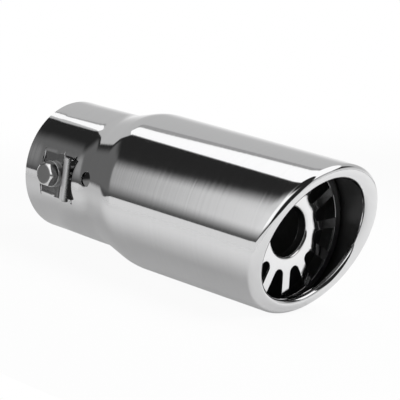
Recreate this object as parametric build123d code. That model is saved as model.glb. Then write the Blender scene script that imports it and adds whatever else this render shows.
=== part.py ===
from build123d import *
import os
from math import asin, cos, pi, radians, sin, sqrt, tan

# Slash-cut exhaust tip: a formed sheet shell, a slotted insert in its mouth and one clamp bolt on its neck.
# Millimetres. +X runs from the inlet to the outlet along the tube's axis, +Z is up and the clamp is at -Y.
# The origin is the centre of the inlet's end.

# Sheet shell
sheet = 1.0               # wall of every formed sheet
neckOuterR = 29.8         # outside of the neck at its inlet
neckGrowth = 0.35         # how much the neck widens towards the flare
inletLand = 8.0           # straight stretch that takes the tailpipe
flareSlope = 15.0         # degrees: the flare's cone
flareBendR = 27.0         # bends at the cone's two ends, on the outside
flareLean = 6.7           # degrees: the flare starts sooner on top than below
barrelR = 35.0            # outside of the barrel
barrelLength = 88.3       # on the axis, from the flare to the mouth
mouthSlant = 18.5         # degrees: the mouth is longer on top
rollR = 3.4               # outside of the rolled lip

# Clamp seat and ridge pressed into the neck, and the screw hole beyond them
slitMargin = 2.0          # neck between the land and the seat's slit
slitGap = 0.4             # width of a slit in the sheet
seatHalf = 10.0           # half the pressed strip's height
slitOverrun = 0.9         # a slit runs this far past the strip
ridgeRise = 1.5           # the ridge's crest above the neck
flankAngle = 37.0         # degrees: the ridge's slope on the seat's side
footR = 1.6               # bend at the ridge's foot, on the outside
crestR = 3.0              # rounding of the ridge's crest, on the outside
crestFall = 38.0          # degrees: how far the crest turns down towards its free edge
ridgeGap = 0.9            # open gap beside the ridge's free edge
neckRun = 5.1             # neck between that gap and the flare
screwHoleR = 3.5
screwHoleOffset = 9.6     # from the ridge's gap to the screw hole
screwHoleTurn = 5.2       # degrees up from the clamp's level

# Clamp fastener
boltR = 3.0
boltLength = 20.0         # under the head
boltTip = 0.8             # chamfer of the end
hexSides = 6
hexFlats = 10.0           # across the flats of head and nut
headHeight = 4.0
headEase = 1.1            # the flats' width less the flat circle on the head's end
headSlope = 30.0          # degrees: chamfer of the head's corners
washerR = 6.0
washerThick = 1.6
nutHeight = 5.0
seatSpare = 0.1           # seat beyond the washer on each side
threadGap = 0.05          # running gap of the bolt in its nut
washerGap = 0.2           # washer's hole round the bolt
boltHoleGap = 0.3         # seat's hole round the bolt

# Slotted insert
insertGap = 0.05          # skirt inside the barrel
insertSetback = 2.2       # from the middle of the lip's roll, where it is lowest, back to the insert
insertSheet = 1.0
skirtLength = 10.0
skirtBend = 3.0
hubHoleR = 10.8
collarLength = 5.0
collarBend = 1.6
slotCount = 12
hubRim = 5.5              # from the hub's hole to the slots
outerRim = 4.95           # from the slots to the outside of the skirt
spokeWidth = 4.3
spokeTurn = 6.0           # degrees from +Y

over = 1.0                # tools run this far past what they cut

# Stations along the axis and levels that follow from the sizes
neckInnerR = neckOuterR - sheet
neckEndR = neckOuterR + neckGrowth
slitX = inletLand + slitMargin
seatX = slitX + slitGap
seatLength = 2 * (washerR + seatSpare)
boltX = seatX + seatLength / 2
seatEndX = seatX + seatLength
seatLevel = sqrt(neckOuterR**2 - seatHalf**2)
crestLevel = neckEndR + ridgeRise
flank = radians(flankAngle)
fall = radians(crestFall)
climb = crestLevel - seatLevel - (footR + crestR) * (1 - cos(flank))
flankRun = climb / tan(flank)
crestX = seatEndX + (footR + crestR) * sin(flank) + flankRun
ridgeEdgeX = crestX + crestR * sin(fall)
gapEndX = ridgeEdgeX + ridgeGap
lean = tan(radians(flareLean))
flareX = gapEndX + neckRun
flareTurn = radians(flareSlope)
coneRise = barrelR - neckEndR - 2 * flareBendR * (1 - cos(flareTurn))
flareEndX = flareX + 2 * flareBendR * sin(flareTurn) + coneRise / tan(flareTurn)
mouthX = flareEndX + barrelLength
slant = tan(radians(mouthSlant))
rollPathR = barrelR - rollR
lipX = mouthX - rollR
screwHoleX = gapEndX + screwHoleOffset
screwHoleTilt = asin(min(max((screwHoleX - flareX) / flareBendR, 0), sin(flareTurn)))
screwHoleLevel = neckEndR + flareBendR * (1 - cos(screwHoleTilt))
insertX = mouthX - slant * rollPathR - insertSetback
skirtR = barrelR - sheet - insertGap
slotInnerR = hubHoleR + hubRim
slotOuterR = skirtR - outerRim


def at(x, r):
    return Vector(x, 0, r)


def turned(edges):
    return revolve(make_face(edges), Axis.X)


def across(x, slope):
    return Plane(origin=(x, 0, 0), x_dir=(0, 1, 0), z_dir=(1, 0, -slope))


def arc_from(start, centre, sweep):
    # An arc in the section plane; a positive sweep turns from +X towards +Z.
    offset = start - centre
    mid = centre + offset.rotate(Axis.Y, -sweep / 2)
    end = centre + offset.rotate(Axis.Y, -sweep)
    return ThreePointArc(start, mid, end)


def skewed(shape, slope):
    # Each point slides along the tube by its height, so a round tube stays round and only its ends lean.
    slide = Matrix([[1, 0, slope, 0], [0, 1, 0, 0], [0, 0, 1, 0], [0, 0, 0, 1]])
    return shape.solid().transform_geometry(slide)


def section(points):
    return [Line(a, b) for a, b in zip(points, points[1:])]


# The flare is a cone between two bends.
def flare_line(offset):
    hollow = arc_from(at(flareX, neckEndR - offset), at(flareX, neckEndR + flareBendR), flareSlope)
    middle = at(flareEndX, barrelR - flareBendR)
    start = middle + at(-sin(flareTurn), cos(flareTurn)) * (flareBendR - offset)
    shoulder = arc_from(start, middle, -flareSlope)
    return [hollow, Line(hollow @ 1, start), shoulder]


def neck_tube():
    taperEnd = flareX - lean * barrelR
    outer = [at(0, neckOuterR), at(inletLand, neckOuterR), at(taperEnd, neckEndR), at(flareEndX, neckEndR)]
    inner = [at(p.X, p.Z - sheet) for p in outer]
    tube = turned(section(outer + inner[::-1] + outer[:1]))
    return split(tube, across(flareX, -lean), keep=Keep.BOTTOM)


def flare_tube():
    outer = flare_line(0)
    inner = flare_line(sheet)
    ends = [Line(outer[0] @ 0, inner[0] @ 0), Line(outer[2] @ 1, inner[2] @ 1)]
    return skewed(turned(outer + inner + ends), -lean)


def ring(inner, outer, x0, x1):
    return turned(section([at(x0, inner), at(x1, inner), at(x1, outer), at(x0, outer), at(x0, inner)]))


def barrel_tube():
    tube = ring(barrelR - sheet, barrelR, flareX, mouthX + 2 * barrelR)
    tube = split(tube, across(flareEndX, -lean), keep=Keep.TOP)
    return split(tube, across(lipX, slant), keep=Keep.BOTTOM)


# The lip is rolled inward by half a turn along the slanted mouth.
def lip_line(offset):
    bend = rollR - offset
    roll = arc_from(at(mouthX, rollPathR + bend), at(mouthX, rollPathR), -180)
    return [Line(at(lipX, rollPathR + bend), roll @ 0), roll]


def rolled_lip():
    outer = lip_line(0)
    inner = lip_line(sheet)
    ends = [Line(outer[0] @ 0, inner[0] @ 0), Line(outer[1] @ 1, inner[1] @ 1)]
    return skewed(turned(outer + inner + ends), slant)


# The strip between the slits: a flat seat, then a ridge that ends in a free edge. Levels run towards -Y.
def strip_line(offset):
    foot = footR + offset
    crest = crestR - offset
    seat = Vector(seatX, seatLevel - offset)
    seatEnd = Vector(seatEndX, seatLevel - offset)
    bend = CenterArc((seatEndX, seatLevel + footR), foot, -90, flankAngle)
    top = CenterArc((crestX, crestLevel - crestR), crest, 90 + flankAngle, -flankAngle - crestFall)
    return [Line(seat, seatEnd), bend, Line(bend @ 1, top @ 0), top]


def standing(face, z0, z1):
    # A face drawn with X along the tube and Y outward stands up between two heights on the -Y side.
    return mirror(Pos(0, 0, z0) * extrude(face, z1 - z0), Plane.XZ)


def pressed_strip():
    outer = strip_line(0)
    inner = strip_line(sheet)
    ends = [Line(outer[0] @ 0, inner[0] @ 0), Line(outer[3] @ 1, inner[3] @ 1)]
    hold = slitGap / 2
    strip = standing(make_face(outer + inner + ends), -seatHalf - hold, seatHalf + hold)
    edge = outer[3] @ 1
    low = Vector(seatEndX, seatLevel - sheet)
    cheek = make_face(outer[1:] + section([outer[1] @ 0, low, Vector(edge.X, low.Y), edge]))
    strip += standing(cheek, seatHalf - sheet, seatHalf + hold)
    strip += standing(cheek, -seatHalf - hold, -seatHalf + sheet)
    return strip


def side_box(x0, x1, half):
    return Pos((x0 + x1) / 2, -barrelR, 0) * Box(x1 - x0, barrelR, 2 * half)


def side_rod(x, r, low, high):
    # A round rod square to the axis, between two distances from the axis on the -Y side.
    return Plane(origin=(x, -low, 0), z_dir=(0, -1, 0)) * extrude(Circle(r), high - low)


def screw_hole():
    # Square to the flare's wall.
    outward = Vector(-sin(screwHoleTilt), -cos(screwHoleTilt), 0)
    facing = Plane(origin=(screwHoleX, -screwHoleLevel, 0), z_dir=outward)
    rod = facing * extrude(Circle(screwHoleR), 2 * sheet + over, both=True)
    return Rot(-screwHoleTurn, 0, 0) * rod


def outer_shell():
    shell = neck_tube() + flare_tube() + barrel_tube() + rolled_lip()
    shell -= side_box(slitX, gapEndX, seatHalf)
    shell -= side_box(slitX, seatX, seatHalf + slitOverrun)
    shell -= side_box(ridgeEdgeX, gapEndX, seatHalf + slitOverrun)
    shell += pressed_strip()
    shell -= side_rod(boltX, boltR + boltHoleGap, seatLevel - sheet - over, seatLevel + over)
    return shell - screw_hole()


def slot():
    # Between two spokes: a round inner end, straight sides and an outer edge on a circle.
    half = radians(180 / slotCount)
    endX = (slotInnerR - spokeWidth / 2) / (1 - sin(half))
    endR = endX - slotInnerR
    reach = sqrt(slotOuterR**2 - (spokeWidth / 2) ** 2)
    across_spoke = Vector(sin(half), -cos(half)) * (spokeWidth / 2)
    along = Vector(cos(half), sin(half))
    high = along * reach + across_spoke
    start = along * (endX * cos(half)) + across_spoke
    low, begin = Vector(high.X, -high.Y), Vector(start.X, -start.Y)
    edges = [Line(start, high), ThreePointArc(high, (slotOuterR, 0), low), Line(low, begin)]
    edges.append(ThreePointArc(begin, (endX - endR, 0), start))
    return make_face(edges)


def insert_disc():
    skirtX = insertX - skirtLength
    collarX = insertX - collarLength
    thin = insertSheet
    hubBend = at(insertX - collarBend, hubHoleR + collarBend)
    rimBend = at(insertX - skirtBend, skirtR - skirtBend)
    hubArc = arc_from(at(hubBend.X, hubHoleR), hubBend, 90)
    rimArc = arc_from(at(insertX, rimBend.Z), rimBend, 90)
    rimBack = arc_from(at(rimBend.X, skirtR - thin), rimBend, -90)
    hubBack = arc_from(at(insertX - thin, hubBend.Z), hubBend, -90)
    edges = [Line(at(collarX, hubHoleR), hubArc @ 0), hubArc, Line(hubArc @ 1, rimArc @ 0), rimArc]
    edges += section([rimArc @ 1, at(skirtX, skirtR), at(skirtX, skirtR - thin), rimBack @ 0]) + [rimBack]
    edges += [Line(rimBack @ 1, hubBack @ 0), hubBack]
    edges += section([hubBack @ 1, at(collarX, hubHoleR + thin), at(collarX, hubHoleR)])
    pan = turned(edges)
    face = Plane(origin=(insertX - thin - over, 0, 0), x_dir=(0, 1, 0), z_dir=(1, 0, 0))
    for k in range(slotCount):
        turn = spokeTurn + (k + 0.5) * 360 / slotCount
        pan -= face * Rot(0, 0, turn) * extrude(slot(), thin + 2 * over)
    return pan


def hexagon(height):
    return extrude(RegularPolygon(hexFlats / 2, hexSides, major_radius=False), height)


def clamp_plane(level):
    return Plane(origin=(boltX, -level, 0), x_dir=(1, 0, 0), z_dir=(0, -1, 0))


def clamp_bolt():
    cornerR = hexFlats / 2 / cos(pi / hexSides)
    ease = cornerR - (hexFlats - headEase) / 2
    upright = (Align.CENTER, Align.CENTER, Align.MIN)
    dome = Cylinder(cornerR, headHeight, align=upright)
    dome = chamfer(dome.edges().sort_by(Axis.Z)[-1], ease * tan(radians(headSlope)), ease)
    shank = Pos(0, 0, -boltLength) * Cylinder(boltR, boltLength, align=upright)
    shank = chamfer(shank.edges().sort_by(Axis.Z)[0], boltTip)
    return clamp_plane(seatLevel + washerThick) * ((hexagon(headHeight) & dome) + shank)


def clamp_washer():
    disc = extrude(Circle(washerR) - Circle(boltR + washerGap), washerThick)
    return clamp_plane(seatLevel) * disc


def clamp_nut():
    nut = hexagon(nutHeight) - extrude(Circle(boltR + threadGap), nutHeight)
    return clamp_plane(seatLevel - sheet - nutHeight) * nut


os.makedirs("parts", exist_ok=True)
nodes = {
    "outer_shell": outer_shell(),
    "insert_disc": insert_disc(),
    "clamp_bolt": clamp_bolt(),
    "clamp_washer": clamp_washer(),
    "clamp_nut": clamp_nut(),
}
for name, solid in nodes.items():
    export_step(solid, f"parts/{name}.step")
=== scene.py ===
from math import asin, atan2, cos, degrees, hypot, pi, radians, sin, sqrt, tan
import bmesh
import bpy
from mathutils import Matrix, Vector


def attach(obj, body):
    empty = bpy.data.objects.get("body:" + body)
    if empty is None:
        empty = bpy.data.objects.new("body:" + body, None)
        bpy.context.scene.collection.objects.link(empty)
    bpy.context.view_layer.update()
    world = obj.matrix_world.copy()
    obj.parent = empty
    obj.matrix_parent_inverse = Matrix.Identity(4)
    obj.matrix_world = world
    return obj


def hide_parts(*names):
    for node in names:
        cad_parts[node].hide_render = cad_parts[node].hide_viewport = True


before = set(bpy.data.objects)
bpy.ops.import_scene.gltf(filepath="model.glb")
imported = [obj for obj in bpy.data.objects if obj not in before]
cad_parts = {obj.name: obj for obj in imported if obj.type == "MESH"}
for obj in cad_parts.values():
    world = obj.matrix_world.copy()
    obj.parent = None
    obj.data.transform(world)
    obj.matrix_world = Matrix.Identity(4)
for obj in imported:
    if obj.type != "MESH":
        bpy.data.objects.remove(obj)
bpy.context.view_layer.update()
scene = bpy.context.scene
toMetres = Matrix.Scale(0.001, 4)  # pieces are drawn in millimetres
origin = (0, 0, 0)
tubeAxis = (1, 0, 0)
upAxis = (0, 0, 1)
white = (1, 1, 1, 1)

print("frame loaded")


# drawing helpers

def everything(bm):
    return bm.verts[:] + bm.edges[:] + bm.faces[:]


def onlyEdges(geom):
    return [part for part in geom if isinstance(part, bmesh.types.BMEdge)]


def even(start, end, steps):
    return [start + (end - start) * k / steps for k in range(steps + 1)]


def between(a, b, steps):  # points along a straight run, without its ends
    return [tuple(p + (q - p) * k / steps for p, q in zip(a, b)) for k in range(1, steps)]


def arcPoints(centre, radius, start, sweep, steps):  # points of an arc, its angles in degrees
    angles = [radians(start + sweep * k / steps) for k in range(steps + 1)]
    return [(centre[0] + radius * cos(a), centre[1] + radius * sin(a)) for a in angles]


def drawLine(bm, points, closed=False):
    verts = [bm.verts.new(point) for point in points]
    ends = verts[1:] + verts[:1] if closed else verts[1:]
    edges = [bm.edges.new(pair) for pair in zip(verts, ends)]
    return verts, edges


def turnRound(bm, points, steps, axis, closed=False):  # a line of points turned right round an axis
    verts, edges = drawLine(bm, points, closed)
    bmesh.ops.spin(
        bm, geom=verts + edges, cent=origin, axis=axis, angle=2 * pi, steps=steps, use_merge=True
    )


def weld(bm, distance):
    bmesh.ops.remove_doubles(bm, verts=bm.verts, dist=distance)
    bmesh.ops.recalc_face_normals(bm, faces=bm.faces)


def newObject(name, bm, material):
    mesh = bpy.data.meshes.new(name)
    bm.to_mesh(mesh)
    bm.free()
    mesh.materials.append(material)
    made = bpy.data.objects.new(name, mesh)
    scene.collection.objects.link(made)
    return made


def finishPiece(name, bm, body, material, node, place=None):
    if place:
        bmesh.ops.transform(bm, matrix=place, verts=bm.verts)
    bmesh.ops.transform(bm, matrix=toMetres, verts=bm.verts)
    for face in bm.faces:
        face.smooth = True
    piece = newObject(name, bm, material)
    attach(piece, body)
    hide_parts(node)
    print("made", name, len(piece.data.polygons), "faces")
    return piece


def wall(piece, thickness):  # gives a sheet its thickness, inward
    solid = piece.modifiers.new("wall", "SOLIDIFY")
    solid.thickness = thickness / 1000
    solid.offset = -1
    solid.use_even_offset = True


def easeEdges(piece, width, steps=2, angle=38, limit="ANGLE"):
    bevel = piece.modifiers.new("eased edges", "BEVEL")
    bevel.width = width / 1000
    bevel.segments = steps
    bevel.profile = 0.5
    bevel.limit_method = limit
    bevel.angle_limit = radians(angle)
    bevel.harden_normals = True


# shader helpers

class Wire:  # a socket that takes Python's operators
    def __init__(self, net, socket):
        self.net = net
        self.socket = socket

    def maths(self, operation, *values):
        return self.net.node("ShaderNodeMath", {"operation": operation}, dict(enumerate(values)))

    def __add__(self, other):
        return self.maths("ADD", self, other)

    def __radd__(self, other):
        return self.maths("ADD", other, self)

    def __sub__(self, other):
        return self.maths("SUBTRACT", self, other)

    def __rsub__(self, other):
        return self.maths("SUBTRACT", other, self)

    def __mul__(self, other):
        return self.maths("MULTIPLY", self, other)

    def __rmul__(self, other):
        return self.maths("MULTIPLY", other, self)

    def ramp(self, low, high):  # 0 at low, 1 at high, smooth between
        settings = {"interpolation_type": "SMOOTHSTEP"}
        inputs = {"Value": self, "From Min": low, "From Max": high}
        return self.net.node("ShaderNodeMapRange", settings, inputs)


class Net:  # the nodes of a material or of the world
    def __init__(self, tree):
        self.tree = tree
        tree.nodes.clear()

    def node(self, kind, settings=None, inputs=None, output=0):
        node = self.tree.nodes.new(kind)
        for name, value in (settings or {}).items():
            setattr(node, name, value)
        for key, value in (inputs or {}).items():
            if isinstance(value, Wire):
                self.tree.links.new(value.socket, node.inputs[key])
            else:
                node.inputs[key].default_value = value
        return Wire(self, node.outputs[output]) if len(node.outputs) else None

    def coordinates(self, kind, axes):  # the named axes of a place or of a facing
        vector = self.node("ShaderNodeTexCoord", output=kind)
        parts = self.node("ShaderNodeSeparateXYZ", {}, {0: vector}).socket.node
        return [Wire(self, parts.outputs[axis]) for axis in axes]


def newMaterial(name):
    material = bpy.data.materials.new(name)
    material.use_nodes = True
    return material, Net(material.node_tree)


def tinted(net, colour, share):
    return net.node("ShaderNodeVectorMath", {"operation": "SCALE"}, {0: colour, "Scale": share})


def glow(net, strength):
    return net.node("ShaderNodeEmission", {}, {"Color": white, "Strength": strength})


def clear(net):
    return net.node("ShaderNodeBsdfTransparent", {}, {"Color": white})


def blend(net, share, first, second):
    return net.node("ShaderNodeMixShader", {}, {"Fac": share, 1: first, 2: second})


def surface(net, shader):
    net.node("ShaderNodeOutputMaterial", {}, {"Surface": shader})


def inMetres(*lengths):  # shaders read places in metres
    return [length / 1000 for length in lengths]


# steel finish, for all the pieces

grain = {
    "along": 620.0,  # streaks to a metre along the tube
    "around": 7.0,  # and across it, so each streak runs round the barrel
    "detail": 3.0,
    "roughness": 0.6,
    "clouds": 30.0,  # broad patches to a metre
    "cloudDetail": 2.0,
    "cloudSpan": 0.02,
    "shadeLow": 0.97,
    "shadeSpan": 0.06,
}


def steel(name, look, *patches):  # a patch gives a mask, and the roughness and colour share that it has there: painted shade where the share is under one, a painted highlight where it is over one
    material, net = newMaterial(name)
    place = net.node("ShaderNodeTexCoord", output="Object")
    scale = (grain["along"], grain["around"], grain["around"])
    stretched = net.node("ShaderNodeMapping", {}, {"Vector": place, "Scale": scale})
    streaks = {"Scale": 1.0, "Detail": grain["detail"], "Roughness": grain["roughness"]}
    fine = net.node("ShaderNodeTexNoise", {}, {"Vector": stretched, **streaks})
    clouds = {"Scale": grain["clouds"], "Detail": grain["cloudDetail"]}
    cloud = net.node("ShaderNodeTexNoise", {}, {"Vector": place, **clouds})
    rough = look["roughness"] + look["streak"] * (fine - 0.5) + grain["cloudSpan"] * (cloud - 0.5)
    shade = grain["shadeLow"] + grain["shadeSpan"] * fine
    for patch in patches:
        mask, finish = patch(net)
        rough = rough + (finish["roughness"] - rough) * mask
        shade = shade * (1 - (1 - finish["shade"]) * mask)
    relief = {"Strength": 1.0, "Distance": look["grainHeight"] / 1000, "Height": fine}
    bump = net.node("ShaderNodeBump", {}, relief)
    colour = tinted(net, look["tint"], shade)
    inputs = {"Base Color": colour, "Metallic": 1.0, "Roughness": rough, "Normal": bump}
    surface(net, net.node("ShaderNodeBsdfPrincipled", {}, inputs))
    return material


# outer shell: one sheet from the inlet to the rolled lip

shell = {
    "sheet": 1.0,
    "neckR": 29.8,
    "neckGrowth": 0.35,
    "land": 8.0,
    "slitX": 10.0,
    "slitGap": 0.4,
    "seatLength": 12.2,
    "seatHalf": 10.0,
    "ridgeRise": 1.5,
    "flank": 37.0,  # degrees, like the fall, slopes, slant, lean and turn below
    "footR": 1.6,
    "crestR": 3.0,
    "crestFall": 38.0,
    "ridgeGap": 0.9,
    "neckRun": 5.1,
    "flareSlope": 15.0,
    "flareBendR": 27.0,
    "lean": 6.7,
    "barrelR": 35.0,
    "barrelLength": 88.3,
    "mouthSlant": 18.5,
    "rollR": 3.4,
    "screwHoleR": 3.5,
    "screwHoleOffset": 9.6,
    "screwHoleTurn": 5.2,
    "screwHoleMargin": 5.2,  # half the block of the grid that the hole's ring takes up
    "boltHoleR": 3.3,
    "boltHoleMargin": 4.6,
    "ringCuts": 4,
    "ringReach": 1.5,  # margins from a hole's middle that are laid on the sheet again
    "edgeEase": 0.12,
    "steps": 220,  # round the tube
    "stripSteps": 12,  # of them on each side of the clamp
    "inletSteps": 8,  # and along the sheet, from here to the roll
    "seatSteps": 12,
    "footSteps": 5,
    "slopeSteps": 3,
    "crestSteps": 12,
    "flareSteps": 46,
    "barrelSteps": 14,
    "rollSteps": 36,
    "settleRounds": 6,  # a leaning place and its radius depend on each other
    "seamWeld": 0.0005,
    "stripWeld": 0.16,
    "slack": 0.01,  # for finding the window's edges again, in millimetres
    "slackTurn": 0.001,  # and in radians
    "tint": (0.80, 0.80, 0.805),
    "roughness": 0.06,
    "streak": 0.07,
    "grainHeight": 0.007,
    "inside": {"shade": 0.16, "roughness": 0.5},  # left unpolished, so rougher; its much darker colour is painted shade, the shadow inside the tube
    "insideFrom": (-4.0, -12.0),  # distance from the axis, negative where the sheet faces it
    "insideBack": (0.2, 0.8),  # behind the mouth's slant
    "satinAndSheen": {"shade": 1.2, "roughness": 0.55},  # the ridge's flank: rougher where the sheet was drawn up, and lighter than its tint, a painted highlight
    "satinRise": 1.0,
    "satinPast": (1.9, -1.3),  # past the crest
    "satinHalf": (10.0, 9.5),
    "satinSide": (20.0, 21.0),  # out from the axis
}
neckEndR = shell["neckR"] + shell["neckGrowth"]
seatX = shell["slitX"] + shell["slitGap"]
seatEndX = seatX + shell["seatLength"]
boltX = seatX + shell["seatLength"] / 2
seatLevel = sqrt(shell["neckR"] ** 2 - shell["seatHalf"] ** 2)
crestLevel = neckEndR + shell["ridgeRise"]
flankTurn = radians(shell["flank"])
bends = shell["footR"] + shell["crestR"]
flankRun = (crestLevel - seatLevel - bends * (1 - cos(flankTurn))) / tan(flankTurn)
crestX = seatEndX + bends * sin(flankTurn) + flankRun
ridgeEdgeX = crestX + shell["crestR"] * sin(radians(shell["crestFall"]))
gapEndX = ridgeEdgeX + shell["ridgeGap"]
flareX = gapEndX + shell["neckRun"]
flareTurn = radians(shell["flareSlope"])
bendRun = shell["flareBendR"] * sin(flareTurn)
bendRise = shell["flareBendR"] * (1 - cos(flareTurn))
coneRise = shell["barrelR"] - neckEndR - 2 * bendRise
flareEndX = flareX + 2 * bendRun + coneRise / tan(flareTurn)
mouthX = flareEndX + shell["barrelLength"]
rollPathR = shell["barrelR"] - shell["rollR"]
lipX = mouthX - shell["rollR"]
screwHoleX = gapEndX + shell["screwHoleOffset"]
lean = tan(radians(shell["lean"]))
slant = tan(radians(shell["mouthSlant"]))
taperEndX = flareX - lean * shell["barrelR"]
straightX = flareEndX + lean * shell["barrelR"]  # the barrel is straight all round from here
stepAngle = 2 * pi / shell["steps"]
stripAngle = stepAngle * shell["stripSteps"]


# painted shade: the sheet facing the axis, behind the mouth, gets a much darker colour, as if in the
# tube's shadow
def shadeInsideShell(net):
    x, y, z = net.coordinates("Object", "XYZ")
    ny, nz = net.coordinates("Normal", "YZ")
    inward = (y * ny + z * nz).ramp(*inMetres(*shell["insideFrom"]))
    start, full = shell["insideBack"]
    behindLip = (x - slant * z).ramp(*inMetres(mouthX - start, mouthX - full))
    return inward * behindLip, shell["inside"]


# painted highlight: the ridge's flank on the clamp's side is lightened above the steel's tint, and made
# rougher
def sheenOnRidgeFlank(net):
    x, y, z = net.coordinates("Object", "XYZ")
    rising = x.ramp(*inMetres(seatEndX, seatEndX + shell["satinRise"]))
    falling = x.ramp(*inMetres(*(crestX + past for past in shell["satinPast"])))
    across = (z * z).ramp(*(half**2 for half in inMetres(*shell["satinHalf"])))
    clampSide = (0 - y).ramp(*inMetres(*shell["satinSide"]))
    return rising * falling * across * clampSide, shell["satinAndSheen"]


def tubeR(x, z):  # the shell's outside radius where the sheet passes this place
    station = x + lean * z
    if station < flareX:
        share = (x - shell["land"]) / (taperEndX - shell["land"])
        return shell["neckR"] + shell["neckGrowth"] * min(max(share, 0), 1)
    bendR = shell["flareBendR"]
    along = station - flareX
    left = max(flareEndX - station, 0)
    if along < bendRun:
        return neckEndR + bendR - sqrt(bendR**2 - along**2)
    if left < bendRun:
        return shell["barrelR"] - bendR + sqrt(bendR**2 - left**2)
    return neckEndR + bendRise + (along - bendRun) * tan(flareTurn)


def tubeLevel(x, z):  # how far the tube's wall stands out to the clamp's side
    return sqrt(tubeR(x, z) ** 2 - z**2)


def sideAngle(place):  # up from the clamp's side
    return atan2(place.z, -place.y)


def stripLine():  # the seat and ridge as (x, level) from the seat's free edge to the ridge's
    footR, crestR, flank = shell["footR"], shell["crestR"], shell["flank"]
    seat = [(x, seatLevel) for x in even(seatX, seatEndX, shell["seatSteps"])]
    foot = arcPoints((seatEndX, seatLevel + footR), footR, -90, flank, shell["footSteps"])
    top = (crestX, crestLevel - crestR)
    crest = arcPoints(top, crestR, 90 + flank, -flank - shell["crestFall"], shell["crestSteps"])
    slope = between(foot[-1], crest[0], shell["slopeSteps"])
    return seat + foot[1:] + slope + crest


def settle(bm):  # lays each ring of points on the leaning flare and the slanted mouth
    for v in bm.verts:
        x = v.co.x
        turn = atan2(v.co.z, v.co.y)
        if x <= straightX:
            r = shell["barrelR"]
            for again in range(shell["settleRounds"]):
                r = tubeR(x, r * sin(turn))
            v.co = (x, r * cos(turn), r * sin(turn))
        else:
            v.co.x += slant * v.co.z * min((x - straightX) / (lipX - straightX), 1)


def cutWindow(bm):  # opens the neck for the pressed strip, and a step wider at its slit and gap
    def inWindow(face):
        mid = face.calc_center_median()
        slit = mid.x < seatX or mid.x > ridgeEdgeX
        reach = stripAngle + (stepAngle if slit else 0)
        return shell["slitX"] < mid.x < gapEndX and abs(sideAngle(mid)) < reach
    bmesh.ops.delete(bm, geom=[f for f in bm.faces if inWindow(f)], context="FACES")


def openHole(bm, x, z, radius, margin, level):  # swaps a block of the grid for a ring round a hole
    def inBlock(face):
        mid = face.calc_center_median()
        return mid.y < 0 and abs(mid.x - x) < margin and abs(mid.z - z) < margin
    block = [face for face in bm.faces if inBlock(face)]
    inside = set(block)
    rim = [e for e in bm.edges if sum(f in inside for f in e.link_faces) == 1]
    bmesh.ops.delete(bm, geom=block, context="FACES")
    facing = Matrix.Translation((x, -shell["barrelR"], z)) @ Matrix.Rotation(pi / 2, 4, "X")
    made = bmesh.ops.create_circle(bm, segments=len(rim), radius=radius, matrix=facing)["verts"]
    circle = list(dict.fromkeys(e for v in made for e in v.link_edges))
    skin = bmesh.ops.bridge_loops(bm, edges=rim + circle)["edges"]
    bmesh.ops.subdivide_edges(bm, edges=skin, cuts=shell["ringCuts"], use_grid_fill=True)
    reach = shell["ringReach"] * margin
    for v in bm.verts:
        if v.co.y < 0 and hypot(v.co.x - x, v.co.z - z) < reach:
            v.co.y = -level(v.co.x, v.co.z)


def windowSide(bm, side):  # the window's long side over the strip (1) or under it (-1)
    slack = shell["slack"]

    def onSide(edge):
        ends = [v.co for v in edge.verts]
        level = all(abs(abs(sideAngle(c)) - stripAngle) < shell["slackTurn"] for c in ends)
        beside = all(seatX - slack < c.x < ridgeEdgeX + slack for c in ends)
        return edge.is_boundary and level and beside and side * ends[0].z > 0
    return [edge for edge in bm.edges if onSide(edge)]


def pressStrip(bm, strip):  # drawn straight across and joined to the window's two long sides
    line, spine = drawLine(bm, [(x, -level, -shell["seatHalf"]) for x, level in strip])
    steps = 2 * shell["stripSteps"]
    across = (0, 0, 2 * shell["seatHalf"] / steps)
    swept = bmesh.ops.spin(
        bm, geom=line + spine, cent=origin, axis=upAxis, dvec=across, angle=0, steps=steps
    )
    for side, edges in ((-1, spine), (1, onlyEdges(swept["geom_last"]))):
        own = set(edges)
        bmesh.ops.bridge_loops(bm, edges=edges + [e for e in windowSide(bm, side) if e not in own])


def makeShell():
    strip = stripLine()
    neck = even(0, shell["slitX"], shell["inletSteps"]) + [x for x, level in strip]
    flare = even(gapEndX, straightX, shell["flareSteps"])
    barrel = even(straightX, lipX, shell["barrelSteps"])[1:]
    tube = [(x, shell["barrelR"]) for x in neck + flare + barrel]
    roll = arcPoints((mouthX, rollPathR), shell["rollR"], 90, -180, shell["rollSteps"])
    bm = bmesh.new()
    turnRound(bm, [(x, 0, r) for x, r in tube + roll], shell["steps"], tubeAxis)
    weld(bm, shell["seamWeld"])
    settle(bm)
    cutWindow(bm)
    screwHoleZ = tubeR(screwHoleX, 0) * sin(radians(shell["screwHoleTurn"]))
    openHole(bm, screwHoleX, screwHoleZ, shell["screwHoleR"], shell["screwHoleMargin"], tubeLevel)
    pressStrip(bm, strip)
    openHole(bm, boltX, 0, shell["boltHoleR"], shell["boltHoleMargin"], lambda x, z: seatLevel)
    weld(bm, shell["stripWeld"])
    finish = steel("polishedShell", shell, shadeInsideShell, sheenOnRidgeFlank)
    piece = finishPiece("tip_shell", bm, "tip", finish, "outer_shell")
    wall(piece, shell["sheet"])
    easeEdges(piece, shell["edgeEase"])


makeShell()


# slotted insert: a pressed pan set back in the mouth

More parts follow.
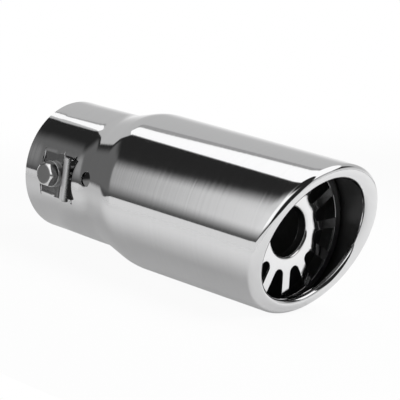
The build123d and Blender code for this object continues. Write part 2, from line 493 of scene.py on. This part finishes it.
insert = {
    "gap": 0.05,
    "setback": 2.2,
    "sheet": 1.0,
    "skirtLength": 10.0,
    "skirtBend": 3.0,
    "hubHoleR": 10.8,
    "collarLength": 5.0,
    "collarBend": 1.6,
    "slots": 12,
    "hubRim": 5.5,
    "outerRim": 4.95,
    "spokeWidth": 4.3,
    "spokeTurn": 6.0,
    "edgeEase": 0.2,
    "easeSteps": 3,
    "arcSteps": 10,  # round one slot's share of the disc
    "spokeSteps": 3,  # along a spoke's side
    "skirtSteps": 8,  # round the skirt's bend
    "collarSteps": 6,  # and the collar's
    "weld": 0.002,
    "tint": (0.88, 0.88, 0.885),
    "roughness": 0.08,
    "streak": 0.04,
    "grainHeight": 0.001,
    # painted shade: the pan's outer part, by the rim tucked in the barrel, darkened as if in shadow, and
    # rougher
    "rim": {"shade": 0.25, "roughness": 0.4},
    "rimFrom": (28.6, 29.6),  # out from the axis
}
insertX = mouthX - slant * rollPathR - insert["setback"]
skirtR = shell["barrelR"] - shell["sheet"] - insert["gap"]
slotInnerR = insert["hubHoleR"] + insert["hubRim"]
slotOuterR = skirtR - insert["outerRim"]


# painted shade on the pan near its rim
def shadeOnInsertRim(net):
    y, z = net.coordinates("Object", "YZ")
    return (y * y + z * z).ramp(*(r**2 for r in inMetres(*insert["rimFrom"]))), insert["rim"]


def outline(bm, outer, inner):  # two arcs on the pan's face joined by straight sides
    steps = insert["spokeSteps"]
    points = outer + between(outer[-1], inner[0], steps) + inner + between(inner[-1], outer[0], steps)
    return drawLine(bm, [(insertX, y, z) for y, z in points], closed=True)[1]


def slotSector(bm):  # one slot with half a spoke on each side of it
    half = 180 / insert["slots"]
    steps = insert["arcSteps"]
    width = insert["spokeWidth"] / 2
    endY = (slotInnerR - width) / (1 - sin(radians(half)))
    outerHalf = half - degrees(asin(width / slotOuterR))
    outer = arcPoints((0, 0), slotOuterR, -outerHalf, 2 * outerHalf, steps)
    inner = arcPoints((endY, 0), endY - slotInnerR, 90 + half, 180 - 2 * half, steps)
    slot = outline(bm, outer, inner)
    rim = arcPoints((0, 0), skirtR - insert["skirtBend"], -half, 2 * half, steps)
    hub = arcPoints((0, 0), insert["hubHoleR"] + insert["collarBend"], half, -2 * half, steps)
    edge = outline(bm, rim, hub)
    bmesh.ops.bridge_loops(bm, edges=slot + edge)


def makeInsert():
    bm = bmesh.new()
    slotSector(bm)
    slots = insert["slots"]
    turn = Matrix.Rotation(radians(insert["spokeTurn"] + 180 / slots), 4, "X")
    bmesh.ops.transform(bm, matrix=turn, verts=bm.verts)
    others = slots - 1
    sweep = 2 * pi * others / slots
    bmesh.ops.spin(
        bm, geom=everything(bm), cent=origin, axis=tubeAxis, angle=sweep, steps=others, use_duplicate=True
    )
    hubR, hubBend = insert["hubHoleR"], insert["collarBend"]
    collar = arcPoints((insertX - hubBend, hubR + hubBend), hubBend, 0, -90, insert["collarSteps"])
    collar.append((insertX - insert["collarLength"], hubR))
    rimBend = insert["skirtBend"]
    skirt = arcPoints((insertX - rimBend, skirtR - rimBend), rimBend, 0, 90, insert["skirtSteps"])
    skirt.append((insertX - insert["skirtLength"], skirtR))
    start = radians(insert["spokeTurn"])
    for line in (collar, skirt):
        points = [(x, r * cos(start), r * sin(start)) for x, r in line]
        turnRound(bm, points, slots * insert["arcSteps"], tubeAxis)
    weld(bm, insert["weld"])
    front = max(bm.faces, key=lambda face: face.calc_center_median().x)
    if front.normal.x < 0:
        bmesh.ops.reverse_faces(bm, faces=bm.faces)
    finish = steel("pressedInsert", insert, shadeOnInsertRim)
    piece = finishPiece("slotted_insert", bm, "tip", finish, "insert_disc")
    wall(piece, insert["sheet"])
    easeEdges(piece, insert["edgeEase"], insert["easeSteps"])


makeInsert()


# clamp: what the bolt, washer and nut share

clamp = {
    "flats": 10.0,
    "blankOver": 0.2,  # a hexagon is cut from a round blank, wider than its corners by this
    "blankSteps": 96,
    "weld": 0.001,
}
cornerR = clamp["flats"] / 2 / cos(pi / 6)
blankR = cornerR + clamp["blankOver"]


def clampPlace(level):  # a fastener drawn along +Z stands out of the neck at this level
    return Matrix(((1, 0, 0, boltX), (0, 0, -1, -level), (0, 1, 0, 0), (0, 0, 0, 1)))


def cutOff(bm, place, facing):  # takes away what is past a plane and closes the cut
    cut = bmesh.ops.bisect_plane(
        bm, geom=everything(bm), plane_co=place, plane_no=facing, clear_outer=True
    )
    bmesh.ops.holes_fill(bm, edges=onlyEdges(cut["geom_cut"]))


def hexagon(bm, line, closed=False):  # a blank turned from (radius, height) points, with six flats
    turnRound(bm, [(r, 0, z) for r, z in line], clamp["blankSteps"], upAxis, closed)
    weld(bm, clamp["weld"])
    for angle in range(30, 390, 60):  # the middle of each flat
        facing = Vector((cos(radians(angle)), sin(radians(angle)), 0))
        cutOff(bm, facing * clamp["flats"] / 2, facing)
    weld(bm, clamp["weld"])


# plain washer

washer = {
    "r": 6.0,
    "holeR": 3.2,
    "thick": 1.6,
    "steps": 120,
    "edgeEase": 0.25,
    "easeSteps": 3,
    "tint": (0.62, 0.62, 0.62),
    "roughness": 0.24,
    "streak": 0.08,
    "grainHeight": 0.0015,
    # painted shade: the washer's faces that don't look out of the neck, its rim among them, darkened, and
    # rougher
    "rim": {"shade": 0.3, "roughness": 0.3},
    "rimFacing": (0.8, 0.5),  # share of its facing that looks out of the neck
}
washerTop = seatLevel + washer["thick"]


# painted shade on the washer's rim and underside
def shadeOnWasherRim(net):
    [ny] = net.coordinates("Normal", "Y")
    return (0 - ny).ramp(*washer["rimFacing"]), washer["rim"]


def makeWasher():
    bm = bmesh.new()
    r, hole, thick = washer["r"], washer["holeR"], washer["thick"]
    points = [(hole, 0, 0), (r, 0, 0), (r, 0, thick), (hole, 0, thick)]
    turnRound(bm, points, washer["steps"], upAxis, closed=True)
    weld(bm, clamp["weld"])
    finish = steel("platedWasher", washer, shadeOnWasherRim)
    place = clampPlace(seatLevel)
    piece = finishPiece("plain_washer", bm, "washer", finish, "clamp_washer", place)
    easeEdges(piece, washer["edgeEase"], washer["easeSteps"])


# hexagon bolt

bolt = {
    "r": 3.0,
    "rootR": 2.46,
    "pitch": 1.0,
    "rootEnd": 0.12,  # shares of the pitch
    "crestStart": 0.5,
    "crestEnd": 0.62,
    "length": 20.0,
    "spareTurns": 2,  # past the end, before it is trimmed
    "leadIn": 0.9,
    "leadInFall": 0.9,
    "headHeight": 4.0,
    "headEase": 1.9,
    "headSlope": 30.0,
    "edgeEase": 0.12,
    "crisp": 25.0,  # a bend over this is an edge: eased on the head, sharp on the thread
    "threadSteps": 28,
    "tint": (0.78, 0.78, 0.78),
    "roughness": 0.12,
    "streak": 0.05,
    "grainHeight": 0.001,
    # painted shade: the head's end face darkened, and rougher
    "end": {"shade": 0.36, "roughness": 0.36},
    "endDepth": (0.3, 0.1),
    # painted shade: the head's six flats darkened, and rougher
    "flat": {"shade": 0.17, "roughness": 0.26},
    "flatFacing": (0.3, 0.2),  # share of its facing that looks out of the neck
    "flatMargin": 0.2,
}
headTop = washerTop + bolt["headHeight"]
crispTurn = radians(bolt["crisp"])


# painted shade on the head's end face
def shadeOnHeadEnd(net):
    [y] = net.coordinates("Object", "Y")
    return (0 - y).ramp(*inMetres(*(headTop - depth for depth in bolt["endDepth"]))), bolt["end"]


# painted shade on the head's flats
def shadeOnHeadFlats(net):
    [y] = net.coordinates("Object", "Y")
    [ny] = net.coordinates("Normal", "Y")
    onHead = (0 - y).ramp(*inMetres(washerTop - bolt["flatMargin"], washerTop))
    return (0 - ny).ramp(*bolt["flatFacing"]) * onHead, bolt["flat"]


def threadedShank():
    bm = bmesh.new()
    root, crest, pitch, end = bolt["rootR"], bolt["r"], bolt["pitch"], -bolt["length"]
    form = [
        (root, 0.0),
        (root, bolt["rootEnd"]),
        (crest, bolt["crestStart"]),
        (crest, bolt["crestEnd"]),
        (root, 1.0),
    ]
    start = end - bolt["spareTurns"] * pitch
    line, edges = drawLine(bm, [(r, 0, start + share * pitch) for r, share in form])
    turns = int(bolt["length"] / pitch) + bolt["spareTurns"] + 1
    steps = bolt["threadSteps"]
    rise = (0, 0, pitch / steps)
    sweep = 2 * pi * turns
    bmesh.ops.spin(
        bm, geom=line + edges, cent=origin, axis=upAxis, dvec=rise, angle=sweep, steps=steps * turns
    )
    weld(bm, clamp["weld"])
    cutOff(bm, (0, 0, end), (0, 0, -1))
    cutOff(bm, origin, upAxis)
    for edge in bm.edges:
        edge.smooth = edge.calc_face_angle(0) < crispTurn
    for v in bm.verts:
        past = (end + bolt["leadIn"] - v.co.z) / bolt["leadIn"]
        limit = crest - bolt["leadInFall"] * past
        r = hypot(v.co.x, v.co.y)
        if past > 0 and r > limit:
            v.co.x *= limit / r
            v.co.y *= limit / r
    return bm


def makeBolt():
    bm = bmesh.new()
    top = bolt["headHeight"]
    topR = (clamp["flats"] - bolt["headEase"]) / 2
    shoulder = top - (blankR - topR) * tan(radians(bolt["headSlope"]))
    hexagon(bm, [(0, top), (topR, top), (blankR, shoulder), (blankR, 0), (0, 0)])
    eased = bm.edges.layers.float.new("bevel_weight_edge")
    for edge in bm.edges:
        edge[eased] = edge.calc_face_angle(0) > crispTurn
    shank = threadedShank()
    mesh = bpy.data.meshes.new("shank")
    shank.to_mesh(mesh)
    shank.free()
    bm.from_mesh(mesh)
    bpy.data.meshes.remove(mesh)
    bmesh.ops.recalc_face_normals(bm, faces=bm.faces)
    finish = steel("platedBolt", bolt, shadeOnHeadEnd, shadeOnHeadFlats)
    place = clampPlace(washerTop)
    piece = finishPiece("hex_bolt", bm, "bolt", finish, "clamp_bolt", place)
    easeEdges(piece, bolt["edgeEase"], limit="WEIGHT")


# welded nut

nut = {
    "height": 5.0,
    "boreR": 3.05,
    "boreEase": 0.4,
    "rimEase": 1.2,
    "rimFall": 0.6,
    "edgeEase": 0.1,
    "easeAngle": 25.0,
    "tint": (0.55, 0.55, 0.55),
    "roughness": 0.32,
    "streak": 0.08,
    "grainHeight": 0.002,
}


def makeNut():
    bm = bmesh.new()
    height, bore, ease = nut["height"], nut["boreR"], nut["boreEase"]
    foot = [(bore, ease), (bore + ease, 0), (blankR - nut["rimEase"], 0), (blankR, nut["rimFall"])]
    hexagon(bm, foot + [(blankR, height), (bore, height)], closed=True)
    finish = steel("plainNut", nut)
    place = clampPlace(seatLevel - shell["sheet"] - height)
    piece = finishPiece("weld_nut", bm, "tip", finish, "clamp_nut", place)
    easeEdges(piece, nut["edgeEase"], angle=nut["easeAngle"])


makeBolt()
makeWasher()
makeNut()
print("pieces made")


# studio, in metres: a white floor, soft light and what the steel mirrors

def stageObject(name, bm, material):
    made = newObject(name, bm, material)
    return made


def stageCard(name, corners, level, material):
    bm = bmesh.new()
    bm.faces.new([bm.verts.new((x, y, level)) for x, y in corners])
    return stageObject(name, bm, material)


floor = {
    "level": -0.0352,
    "edge": -0.18,  # where the table ends on the clamp's side
    "side": -0.30,  # and on the inlet's
    "reach": 4.0,
    "colour": 0.78,
    "far": 0.62,  # share of it towards the inlet: painted shade, the floor darker there as if in shadow
    "farX": (-0.10, 0.05),
    "eyeWhite": 0.94,  # share of plain white in the floor, for the eye
    "eyeWhiteX": (-0.10, -0.26),  # where it grows to all white, towards the inlet
    "mirrorWhite": 0.22,  # and the share for the steel
    "mirrorEdge": (-0.075, -0.115),  # nearer than this the steel mirrors the apron instead
}


def makeFloor():
    material, net = newMaterial("paleFloor")
    x, y = net.coordinates("Object", "XY")
    eye = net.node("ShaderNodeLightPath", output="Is Camera Ray")
    mirror = net.node("ShaderNodeLightPath", output="Is Glossy Ray")
    # painted shade: the floor's colour falls towards the inlet
    shade = floor["far"] + (1 - floor["far"]) * x.ramp(*floor["farX"])
    matt = net.node("ShaderNodeBsdfDiffuse", {}, {"Color": tinted(net, [floor["colour"]] * 3, shade)})
    seen = floor["eyeWhite"] + (1 - floor["eyeWhite"]) * x.ramp(*floor["eyeWhiteX"])
    shown = blend(net, eye * seen + mirror * floor["mirrorWhite"], matt, glow(net, 1.0))
    nearer = mirror * y.ramp(*floor["mirrorEdge"])
    surface(net, blend(net, nearer, shown, clear(net)))
    near, side, far = floor["edge"], floor["side"], floor["reach"]
    stageCard("floor", [(side, near), (far, near), (far, far), (side, far)], floor["level"], material)


room = {  # levels of light, and the x, y or z of a direction between which each begins or ends
    "edgeLean": 0.055,
    "edgeLeanZ": (0.45, 0.65),
    "edgeY": (-0.014, 0.014),
    "backTop": 0.54,
    "backFoot": 0.34,
    "backFootZ": (0.34, -0.05),
    "gapDepth": 0.95,
    "gapX": (0.1, 0.4),
    "gapZ": (0.38, 0.46),
    "sideCard": 0.68,
    "frontCard": 0.45,
    "frontCardX": (-0.6, -0.3),
    "cardInletX": (-0.76, -0.64),
    "cardMouthX": (0.42, 0.27),
    "cardSlope": 3.2,
    "cardSlopeX": -0.707,
    "cardSlopeZ": (0.49, 0.29),
    "cardTopZ": (0.85, 0.7),
    "cardFootZ": (-0.16, 0.1),
    "dark": 0.022,
    "dim": 0.115,
    "dimX": (0.1, -0.6),
    "dimY": (-0.03, -0.14),
    "dimZ": (0.52, 0.34),
    "dimFoot": 0.45,
    "dimFootZ": (-0.19, -0.08),
    "neckX": (-0.705, -0.735),
    "neckRise": 0.07,
    "horizon": -0.2,
    "horizonStep": 0.02,
    "horizonStepX": (-0.58, -0.64),
    "horizonFall": 0.035,
    "horizonFallX": (-0.74, -0.86),
    "horizonZ": (0.004, -0.004),
    "apron": 0.66,
    "apronGain": 0.12,
}


def makeRoom():
    world = bpy.data.worlds.new("studio")
    world.use_nodes = True
    scene.world = world
    net = Net(world.node_tree)
    x, y, z = net.coordinates("Generated", "XYZ")
    neckSide = x.ramp(*room["neckX"])

    # the bright side behind, with a gap under the light box at the mouth's end
    edge = y + room["edgeLean"] * z.ramp(*room["edgeLeanZ"])
    gap = x.ramp(*room["gapX"]) * z.ramp(*room["gapZ"])
    backdrop = room["backTop"] + room["backFoot"] * z.ramp(*room["backFootZ"])
    backdrop = backdrop * (1 - room["gapDepth"] * gap)

    # a card in front, its top cut at a slope
    slope = z - room["cardSlope"] * (x - room["cardSlopeX"])
    top = slope.ramp(*room["cardSlopeZ"]) * z.ramp(*room["cardTopZ"])
    card = room["sideCard"] + room["frontCard"] * x.ramp(*room["frontCardX"])
    card = card * x.ramp(*room["cardInletX"]) * x.ramp(*room["cardMouthX"])
    card = card * top * z.ramp(*room["cardFootZ"])

    # the dark side with a dim patch
    dim = room["dim"] * (z - room["neckRise"] * neckSide).ramp(*room["dimZ"]) * x.ramp(*room["dimX"])
    dim = dim * (room["dimFoot"] + (1 - room["dimFoot"]) * z.ramp(*room["dimFootZ"]))
    front = room["dark"] + dim * edge.ramp(*room["dimY"]) + card

    # a pale apron under the horizon
    horizon = room["horizon"] + room["horizonStep"] * (1 - neckSide) * x.ramp(*room["horizonStepX"])
    horizon = horizon - room["horizonFall"] * x.ramp(*room["horizonFallX"])
    apron = room["apron"] + room["apronGain"] * (1 - neckSide)
    front = front + (apron - front) * (z - horizon).ramp(*room["horizonZ"])

    light = front + (backdrop - front) * edge.ramp(*room["edgeY"])
    eye = net.node("ShaderNodeLightPath", output="Is Camera Ray")
    strength = light + (1 - light) * eye
    shown = net.node("ShaderNodeBackground", {}, {"Color": white, "Strength": strength})
    net.node("ShaderNodeOutputWorld", {}, {"Surface": shown})


softbox = {
    "height": 0.9,
    "boxGlow": 1.2,
    "boxCorners": [
        (1.5, -0.075), (1.5, 0.7), (-0.45, 0.7), (-0.80, 0.215),
        (-1.03, 0.12), (-1.03, 0.07), (-0.87, -0.075),
    ],
    "barGlow": 0.36,  # the box's darker frame
    "barCorners": [(-0.45, 0.7), (-0.52, 0.8), (-0.88, 0.32), (-1.03, 0.12), (-0.80, 0.215)],
}


def makeSoftbox():
    for name in ("box", "bar"):
        material, net = newMaterial(name)
        surface(net, glow(net, softbox[name + "Glow"]))
        card = stageCard(name, softbox[name + "Corners"], softbox["height"], material)
        card.visible_camera = False


lamp = {
    "place": (0.45, 0.25, 0.7),
    "size": 0.5,
    "power": 4.0,
}


def makeLamp():
    light = bpy.data.lights.new("lamp", "AREA")
    light.size = lamp["size"]
    light.energy = lamp["power"]
    holder = bpy.data.objects.new("lamp", light)
    holder.location = lamp["place"]
    holder.rotation_euler = Vector(lamp["place"]).to_track_quat("Z", "Y").to_euler()
    holder.visible_camera = False
    holder.visible_glossy = False
    scene.collection.objects.link(holder)


inletShadeCard = {  # just inside the open inlet, and seen only from within: a dark sheet that paints shade into the tube, seen through its holes and slits
    "x": 0.001,
    "r": 0.0285,
    "sides": 64,
    "dark": 0.012,
    "pale": 0.16,  # level of its lower part, on the far side: painted light, standing for the floor seen through the inlet
    "paleY": (0.003, 0.005),
    "paleZ": (-0.0065, -0.0085),
}


def makeInletShadeCard():
    material, net = newMaterial("inletShadeCard")
    y, z = net.coordinates("Object", "YZ")
    low = z.ramp(*inletShadeCard["paleZ"]) * y.ramp(*inletShadeCard["paleY"])
    shown = blend(net, low, glow(net, inletShadeCard["dark"]), glow(net, inletShadeCard["pale"]))
    behind = net.node("ShaderNodeNewGeometry", output="Backfacing")
    surface(net, blend(net, behind, shown, clear(net)))
    bm = bmesh.new()
    facing = Matrix.Translation((inletShadeCard["x"], 0, 0)) @ Matrix.Rotation(pi / 2, 4, "Y")
    sides, radius = inletShadeCard["sides"], inletShadeCard["r"]
    bmesh.ops.create_circle(bm, cap_ends=True, segments=sides, radius=radius, matrix=facing)
    card = stageObject("inlet card", bm, material)
    card.visible_diffuse = False
    card.visible_glossy = False
    card.visible_shadow = False


view = {
    "place": (0.71098, -0.66024, 0.16859),
    "turn": (79.528, -7.571, 44.953),
    "lens": 189.44,
    "sensor": 36.0,
}


def makeCamera():
    camera = bpy.data.cameras.new("camera")
    camera.lens = view["lens"]
    camera.sensor_width = view["sensor"]
    holder = bpy.data.objects.new("camera", camera)
    holder.location = view["place"]
    holder.rotation_euler = [radians(angle) for angle in view["turn"]]
    scene.collection.objects.link(holder)
    scene.camera = holder


makeFloor()
makeRoom()
makeSoftbox()
makeLamp()
makeInletShadeCard()
makeCamera()
scene.view_settings.view_transform = "Standard"
print("studio ready")
